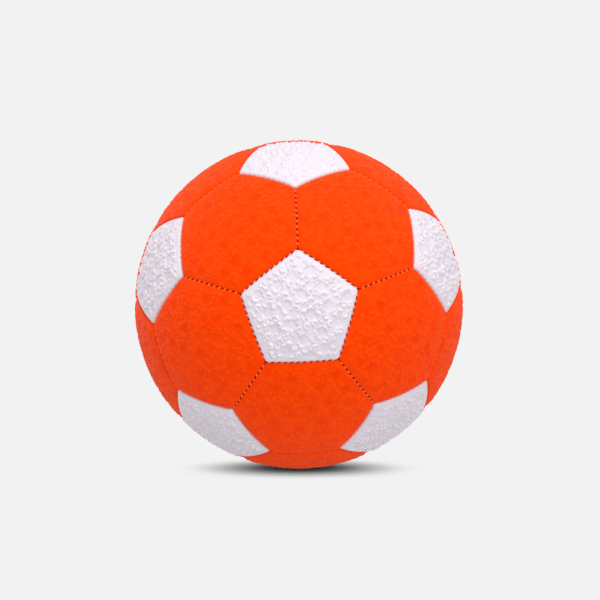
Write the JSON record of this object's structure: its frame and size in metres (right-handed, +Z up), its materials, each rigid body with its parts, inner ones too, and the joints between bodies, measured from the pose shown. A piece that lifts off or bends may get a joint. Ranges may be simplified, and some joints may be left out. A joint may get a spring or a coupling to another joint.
{
  "type": "soccer ball",
  "caption": "Round inflated ball of white pentagon and orange hexagon panels with an embossed grain, sewn edge to edge over cloth linings and a bladder with a plug valve.",
  "frame": {"origin": "middle of the ball", "axes": "+Y along the valve, out of the ball; +Z up, towards a corner of the front pentagon, which faces -Y"},
  "size_m": [0.2196, 0.2195, 0.2196],
  "materials": {
    "white_cover": "embossed synthetic leather, satin",
    "orange_cover": "embossed synthetic leather, satin",
    "pale_thread": "bonded polyester thread",
    "orange_thread": "bonded polyester thread",
    "lining": "woven polyester and cotton cloth on foam",
    "bladder": "butyl rubber, matte",
    "valve": "moulded butyl rubber, satin"
  },
  "bodies": {
    "ball": {"front_pentagon": "white_cover", "front_ring_pentagon_1": "white_cover", "front_ring_pentagon_2": "white_cover", "front_ring_pentagon_3": "white_cover", "front_ring_pentagon_4": "white_cover", "front_ring_pentagon_5": "white_cover", "rear_ring_pentagon_1": "white_cover", "rear_ring_pentagon_2": "white_cover", "rear_ring_pentagon_3": "white_cover", "rear_ring_pentagon_4": "white_cover", "rear_ring_pentagon_5": "white_cover", "valve_pentagon": "white_cover", "front_hexagon_1": "orange_cover", "front_hexagon_2": "orange_cover", "front_hexagon_3": "orange_cover", "front_hexagon_4": "orange_cover", "front_hexagon_5": "orange_cover", "front_middle_hexagon_1": "orange_cover", "front_middle_hexagon_2": "orange_cover", "front_middle_hexagon_3": "orange_cover", "front_middle_hexagon_4": "orange_cover", "front_middle_hexagon_5": "orange_cover", "rear_middle_hexagon_1": "orange_cover", "rear_middle_hexagon_2": "orange_cover", "rear_middle_hexagon_3": "orange_cover", "rear_middle_hexagon_4": "orange_cover", "rear_middle_hexagon_5": "orange_cover", "rear_hexagon_1": "orange_cover", "rear_hexagon_2": "orange_cover", "rear_hexagon_3": "orange_cover", "rear_hexagon_4": "orange_cover", "rear_hexagon_5": "orange_cover", "front_pentagon_thread": "pale_thread", "front_ring_pentagon_1_thread": "pale_thread", "front_ring_pentagon_2_thread": "pale_thread", "front_ring_pentagon_3_thread": "pale_thread", "front_ring_pentagon_4_thread": "pale_thread", "front_ring_pentagon_5_thread": "pale_thread", "rear_ring_pentagon_1_thread": "pale_thread", "rear_ring_pentagon_2_thread": "pale_thread", "rear_ring_pentagon_3_thread": "pale_thread", "rear_ring_pentagon_4_thread": "pale_thread", "rear_ring_pentagon_5_thread": "pale_thread", "valve_pentagon_thread": "pale_thread", "hexagon_seam_threads": "orange_thread", "pentagon_linings": "lining", "hexagon_linings": "lining", "bladder": "bladder", "valve_patch": "lining", "valve_housing": "valve"},
    "plug": {"valve_plug": "valve"}
  },
  "joints": [
    {"name": "plug_pull", "type": "slide", "parent": "ball", "child": "plug", "axis": [0, 1, 0], "range_m": [0, 0.016]}
  ]
}
